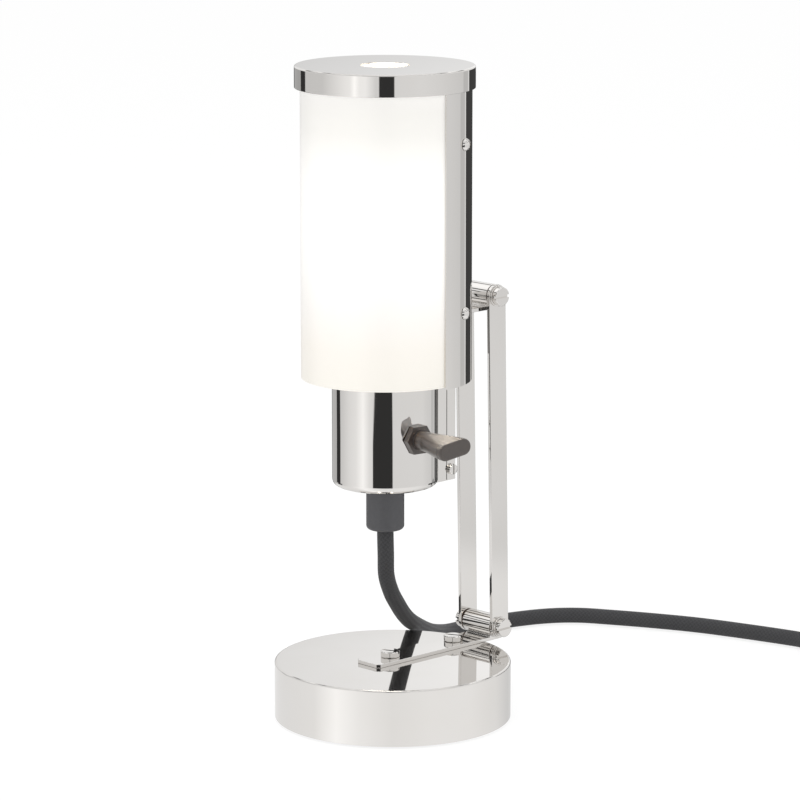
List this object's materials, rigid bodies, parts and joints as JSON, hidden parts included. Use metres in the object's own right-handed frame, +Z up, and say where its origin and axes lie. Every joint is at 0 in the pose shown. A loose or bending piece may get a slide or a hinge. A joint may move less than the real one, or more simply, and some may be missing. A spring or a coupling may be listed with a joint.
{
  "type": "table lamp",
  "caption": "Adjustable table lamp with a weighted drum base, a twin-bar hinged arm and an upright opal glass shade in a polished metal shell with a loose cap.",
  "frame": {"origin": "centre of the base's underside, on the table", "axes": "+Z up, -Y the way the glass front faces, +Y towards the arm, +X the side of the rotary switch"},
  "size_m": [0.1982, 0.3422, 0.2773],
  "materials": {
    "nickel": "polished",
    "steel": "satin",
    "iron": "rough cast",
    "felt": "matte felt",
    "opal": "glossy opal",
    "bulb": "frosted",
    "phenolic": "moulded, glossy",
    "porcelain": "glazed",
    "brass": "bright",
    "fibre": "matte",
    "textile": "braided",
    "rubber": "matte"
  },
  "bodies": {
    "base": {"base_shell": "nickel", "base_weight": "iron", "base_plate": "steel", "base_pad": "felt", "base_screws": "steel", "base_strap": "nickel", "strap_screws": "nickel", "cord_run": "textile", "cord_coil": "textile", "cord_tie": "rubber", "plug_body": "rubber", "plug_pins": "nickel"},
    "arm": {"arm_bar_right": "nickel", "arm_bar_left": "nickel", "lower_axle": "steel", "upper_axle": "steel", "lower_pivot_screws": "nickel", "upper_pivot_screws": "nickel", "lower_washers": "nickel", "upper_washers": "nickel", "lower_discs": "fibre", "upper_discs": "fibre"},
    "head": {"head_strap": "nickel", "head_strap_screws": "nickel", "head_strap_nuts": "steel", "back_shell": "nickel", "spine": "nickel", "glass_front": "opal", "glass_clip_right": "nickel", "glass_clip_left": "nickel", "clip_screws": "nickel", "holder_bracket": "nickel", "bracket_screws": "nickel", "holder_housing": "nickel", "switch_block": "phenolic", "holder_body": "porcelain", "thread_shell": "brass", "centre_contact": "brass", "bulb_glass": "bulb", "bulb_cap": "brass", "bulb_contact": "steel", "switch_bush": "steel", "switch_nut": "phenolic", "strain_relief": "rubber", "relief_nut": "steel", "cord_drop": "textile"},
    "cap": {"cap": "nickel"},
    "knob": {"knob": "phenolic", "spindle": "steel"}
  },
  "joints": [
    {"name": "arm_swing", "type": "hinge", "parent": "base", "child": "arm", "pos_m": [0, 0.0545, 0.0307], "axis": [-1, 0, 0], "range_deg": [-25, 45]},
    {"name": "head_tilt", "type": "hinge", "parent": "arm", "child": "head", "pos_m": [0, 0.05172, 0.17567], "axis": [-1, 0, 0], "range_deg": [-20, 90], "deforming": ["cord_drop"]},
    {"name": "switch_turn", "type": "hinge", "parent": "head", "child": "knob", "pos_m": [0, -0.00428, 0.12417], "axis": [0.9903, -0.1392, 0], "continuous": true},
    {"name": "cap_lift", "type": "slide", "parent": "head", "child": "cap", "axis": [0, 0, 1], "range_m": [0, 0.04]}
  ]
}
